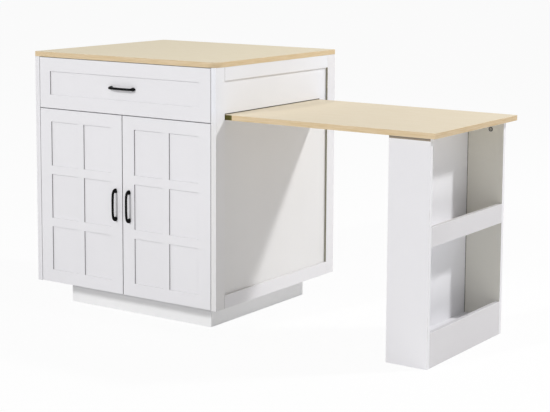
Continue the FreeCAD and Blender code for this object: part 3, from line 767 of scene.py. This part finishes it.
def cross_bit(reach, wide, deep, top):
    """Tapered cross that cuts a recess downwards from the height top; reach and wide are half sizes."""
    rings = []
    for height, share in ((top + 0.5, BIT_MOUTH), (top - deep, BIT_TIP)):
        r, w = reach * share, wide * (0.6 + 0.4 * share)
        outline = [
            (r, -w), (r, w), (w, w), (w, r), (-w, r), (-w, w),
            (-r, w), (-r, -w), (-w, -w), (-w, -r), (w, -r), (w, -w),
        ]
        rings.append([mm(x, y, height) for x, y in outline])
    bm = bmesh.new()
    tube(bm, rings)
    return new_mesh(bm, "bit")


def recessed(profile, bit):
    """Turned solid with a cross recess cut into it."""
    bm = bmesh.new()
    turned(bm, profile, Matrix(), 40)
    cutter = bpy.data.objects.new("bit", bit)
    bpy.context.scene.collection.objects.link(cutter)
    made = with_modifiers(
        new_mesh(bm, "blank"), ("BOOLEAN", {"operation": "DIFFERENCE", "solver": "EXACT", "object": cutter}),
    )
    bpy.data.objects.remove(cutter)
    return smooth(made)


def pan_screw(head, tall, shank, long):
    """Pan head screw with rolled ridges on its shank; head and shank are radii."""
    core, threaded = shank * 0.84, long - 1.0
    profile = [(0, -long), (shank * 0.7, -long)]
    ridges = max(3, int(long / RIDGE_PITCH))
    for ridge in range(ridges):
        low = -long + 0.5 + threaded * ridge / ridges
        profile += [(core, low), (shank, low + 0.5 * threaded / ridges)]
    profile += [
        (core, -0.4), (core, 0), (head - 0.15, 0), (head, 0.2), (head, tall * 0.45),
        (head * 0.93, tall * 0.72), (head * 0.78, tall * 0.9), (head * 0.5, tall), (0, tall),
    ]
    return recessed(profile, cross_bit(head * 0.55, head * 0.13, tall * 0.62, tall))


def add_pull_screws():
    """The screws behind the pulls, as far apart as the pulls' feet."""
    for node, body, upright in (
        ("drawer_handle_screws", "drawer", False),
        ("left_door_screws", "left_door_leaf", True),
        ("right_door_screws", "right_door_leaf", True),
    ):
        low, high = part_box(node)
        head_seat = high[Y] - PULL_HEAD_TALL / 1000
        screw = pan_screw(4.0, PULL_HEAD_TALL, 2.0, (head_seat - low[Y]) * 1000)
        between = Vector((middle(node, X), head_seat, middle(node, Z)))
        shift = mm(0, 0, PULL_FEET) if upright else mm(PULL_FEET, 0, 0)
        places = [looking((0, 1, 0), between + shift * side) for side in (-1, 1)]
        add_piece(joined(screw, places, node), node + "_cut", body, STEEL, (node,))


# Hinges: their small screws, which the solids leave out. Screws' places are from each hinge's middle, the
# faces that they sit on from the ends of the nodes' boxes.

HINGE_HEIGHTS = (0.187, 0.612)
CUP_SCREWS_UP = (-0.0245, 0.0245)
PLATE_SCREWS_UP = (-0.0165, 0.0165)
ARM_SCREWS_ALONG = (-0.011, 0.012)
CUP_FACE = 0.0002
PLATE_WING = 0.002
ARM_BACK = 0.005


def add_hinge_screws():
    """Two screws in each cup, two in each plate and two in each arm."""
    small = pan_screw(3.4, 1.1, 1.6, 3.0)
    for side in ("left", "right"):
        cups = side + "_hinge_cups"
        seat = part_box(cups)[1][Y] - CUP_FACE
        places = [
            looking((0, 1, 0), Vector((middle(cups, X), seat, height + shift)))
            for height in HINGE_HEIGHTS for shift in CUP_SCREWS_UP
        ]
        mesh = joined(small, places, side + "_cup_screws")
        add_piece(mesh, side + "_cup_screws", side + "_door_leaf", STEEL)
    plates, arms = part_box("hinge_plates"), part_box("hinge_arms")
    centre = middle("hinge_plates", Y)
    wings, backs = [], []
    for inwards, end in ((1, 0), (-1, 1)):
        wing = plates[end][X] + inwards * PLATE_WING
        back = arms[end][X] + inwards * ARM_BACK
        for height in HINGE_HEIGHTS:
            for shift in PLATE_SCREWS_UP:
                wings.append(looking((inwards, 0, 0), Vector((wing, centre, height + shift))))
            for along in ARM_SCREWS_ALONG:
                backs.append(looking((inwards, 0, 0), Vector((back, centre + along, height))))
    add_piece(joined(small, wings, "plate_screws"), "plate_screws", "cabinet", STEEL)
    add_piece(joined(small, backs, "arm_screws"), "arm_screws", "cabinet", STEEL)


# Cams of the shelf unit, in millimetres: a zinc disc with a cross recess, its face at z = 0, in a dark rim
# that paints the shade of the gap round the disc.

CAM_DEEP = 12.0
CAM_RIM = [
    (0, -CAM_DEEP), (7.4, -CAM_DEEP), (7.4, -0.2), (7.2, 0), (5.2, 0), (5.0, -0.25), (5.0, -3.0), (0, -3.0),
]
CAM_DISC = [(0, -2.95), (4.8, -2.95), (4.8, -0.35), (4.6, -0.1), (0, -0.1)]


def add_cams():
    """One cam in each upright, facing into the shelf unit."""
    low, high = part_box("leg_cams")
    bm = bmesh.new()
    turned(bm, CAM_RIM, Matrix(), 48)
    rim = smooth(new_mesh(bm, "cam_rim"))
    disc = recessed(CAM_DISC, cross_bit(3.0, 1.5, 3.2, -0.1))
    places = [
        looking((0, inwards, 0), Vector((middle("leg_cams", X), face, middle("leg_cams", Z))))
        for inwards, face in ((1, low[Y] + CAM_DEEP / 1000), (-1, high[Y] - CAM_DEEP / 1000))
    ]
    add_piece(joined(rim, places, "cam_rims"), "cam_rims", "leaf_table", CAM_RIM_SHADE, ("leg_cams",))
    add_piece(joined(disc, places, "cam_discs"), "cam_discs", "leaf_table", CAM)


# Dark strip under the slot's upper wall, over the leaf, a little uneven along its lower edge: a dark sheet
# that paints the shade in the gap over the leaf.

SHADE_STRIP_TOP = LEAF_HIGH[Z] + 0.0023
SHADE_STRIP_THICK = 0.0015
SHADE_STRIP_CHAMFER = (0.0004, 0.0003)
SHADE_STRIP_WAVES = ((0.00008, 1.7), (0.00005, 0.63))
SHADE_STRIP_INSET_X = (0.0015, 0.0012)
SHADE_STRIP_INSET_Y = (0.002, 0.001)


def shade_strip_ring(y, step, left, right):
    """Section of the strip, with its lower corners cut."""
    bottom = SHADE_STRIP_TOP - SHADE_STRIP_THICK - sum(deep * math.sin(step * pace) for deep, pace in SHADE_STRIP_WAVES)
    across, up = SHADE_STRIP_CHAMFER
    return [
        (left, y, SHADE_STRIP_TOP), (right, y, SHADE_STRIP_TOP), (right, y, bottom + up),
        (right - across, y, bottom), (left + across, y, bottom), (left, y, bottom + up),
    ]


def add_slot_shade_strip(steps=140):
    """The strip, a little inside the panel's thickness and the leaf's width."""
    side_low, side_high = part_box("right_side_panel")
    left, right = side_low[X] + SHADE_STRIP_INSET_X[0], side_high[X] - SHADE_STRIP_INSET_X[1]
    front, rear = LEAF_LOW[Y] + SHADE_STRIP_INSET_Y[0], LEAF_HIGH[Y] - SHADE_STRIP_INSET_Y[1]
    bm = bmesh.new()
    tube(bm, [
        shade_strip_ring(front + (rear - front) * step / steps, step, left, right) for step in range(steps + 1)
    ])
    add_piece(smooth(new_mesh(bm, "slot_shade_strip")), "slot_shade_strip", "cabinet", SHADE_STRIP)


add_slot_shade_strip()
add_pulls()
add_pull_screws()
add_hinge_screws()
add_cams()

# --------------------------------------------------------- stage and light

FLOOR_HALF = 30
FLOOR_DROP = 0.0005
FLOOR_TONE = 0.95
FLOOR_GLOW = 0.93
WORLD_STRENGTH = 0.355


def seen_rays(tree):
    """1 for a ray from the camera, a reflection or something clear, else 0."""
    path = tree.nodes.new("ShaderNodeLightPath")
    value = path.outputs["Is Camera Ray"]
    for kind in ("Is Glossy Ray", "Is Transmission Ray"):
        larger = tree.nodes.new("ShaderNodeMath")
        larger.operation = "MAXIMUM"
        tree.links.new(value, larger.inputs[0])
        tree.links.new(path.outputs[kind], larger.inputs[1])
        value = larger.outputs[0]
    return value


def blend_shaders(tree, factor, first, second, output):
    """Links a blend of two shaders to the output node: the second where the factor is 1."""
    blend = tree.nodes.new("ShaderNodeMixShader")
    for socket, value in zip(blend.inputs, (factor, first.outputs[0], second.outputs[0])):
        tree.links.new(value, socket)
    tree.links.new(blend.outputs[0], tree.nodes[output].inputs["Surface"])


def floor_material():
    """White that looks nearly as bright as the world, and keeps the object's shadow."""
    material = bpy.data.materials.new("floor_white")
    material.use_nodes = True
    tree = material.node_tree
    shader = tree.nodes["Principled BSDF"]
    shader.inputs["Base Color"].default_value = (FLOOR_TONE, FLOOR_TONE, FLOOR_TONE, 1)
    shader.inputs["Roughness"].default_value = 0.9
    glow = tree.nodes.new("ShaderNodeEmission")
    glow.inputs["Strength"].default_value = 1.0
    share = tree.nodes.new("ShaderNodeMath")
    share.operation = "MULTIPLY"
    share.inputs[1].default_value = FLOOR_GLOW
    tree.links.new(seen_rays(tree), share.inputs[0])
    blend_shaders(tree, share.outputs[0], shader, glow, "Material Output")
    return material


def add_stage():
    """Plain floor, just under the object's lowest point."""
    corners = [(-1, -1), (1, -1), (1, 1), (-1, 1)]
    mesh = bpy.data.meshes.new("floor")
    points = [(x * FLOOR_HALF, y * FLOOR_HALF, -FLOOR_DROP) for x, y in corners]
    mesh.from_pydata(points, [], [(0, 1, 2, 3)])
    mesh.materials.append(floor_material())
    floor = bpy.data.objects.new("floor", mesh)
    bpy.context.scene.collection.objects.link(floor)


def add_world():
    """Soft light from all round, behind a background that is seen as white."""
    world = bpy.data.worlds.new("studio")
    bpy.context.scene.world = world
    world.use_nodes = True
    tree = world.node_tree
    light = tree.nodes["Background"]
    light.inputs["Color"].default_value = (1, 1, 1, 1)
    light.inputs["Strength"].default_value = WORLD_STRENGTH
    seen = tree.nodes.new("ShaderNodeBackground")
    seen.inputs["Strength"].default_value = 1.0
    blend_shaders(tree, seen_rays(tree), light, seen, "World Output")


def add_lamp(name, at, towards, energy, wide, tall):
    """Rectangular lamp that shines from one point towards another."""
    lamp = bpy.data.lights.new(name, "AREA")
    lamp.shape = "RECTANGLE"
    lamp.energy = energy
    lamp.size = wide
    lamp.size_y = tall
    item = bpy.data.objects.new(name, lamp)
    item.location = at
    item.rotation_euler = (Vector(towards) - item.location).to_track_quat("-Z", "Y").to_euler()
    bpy.context.scene.collection.objects.link(item)


def add_lamps():
    """A small key lamp high behind the leaf, and an upright strip far in front, a little to the left."""
    add_lamp("key", at=(3.6, 2.5, 3.9), towards=(0, 0, 0.5), energy=164, wide=0.37, tall=0.37)
    add_lamp("front", at=(-2.6, -10.3, 6.1), towards=(-0.3, -0.3, 0.5), energy=585, wide=0.5, tall=1.6)


add_stage()
add_world()
add_lamps()
bpy.context.scene.view_settings.view_transform = "Standard"
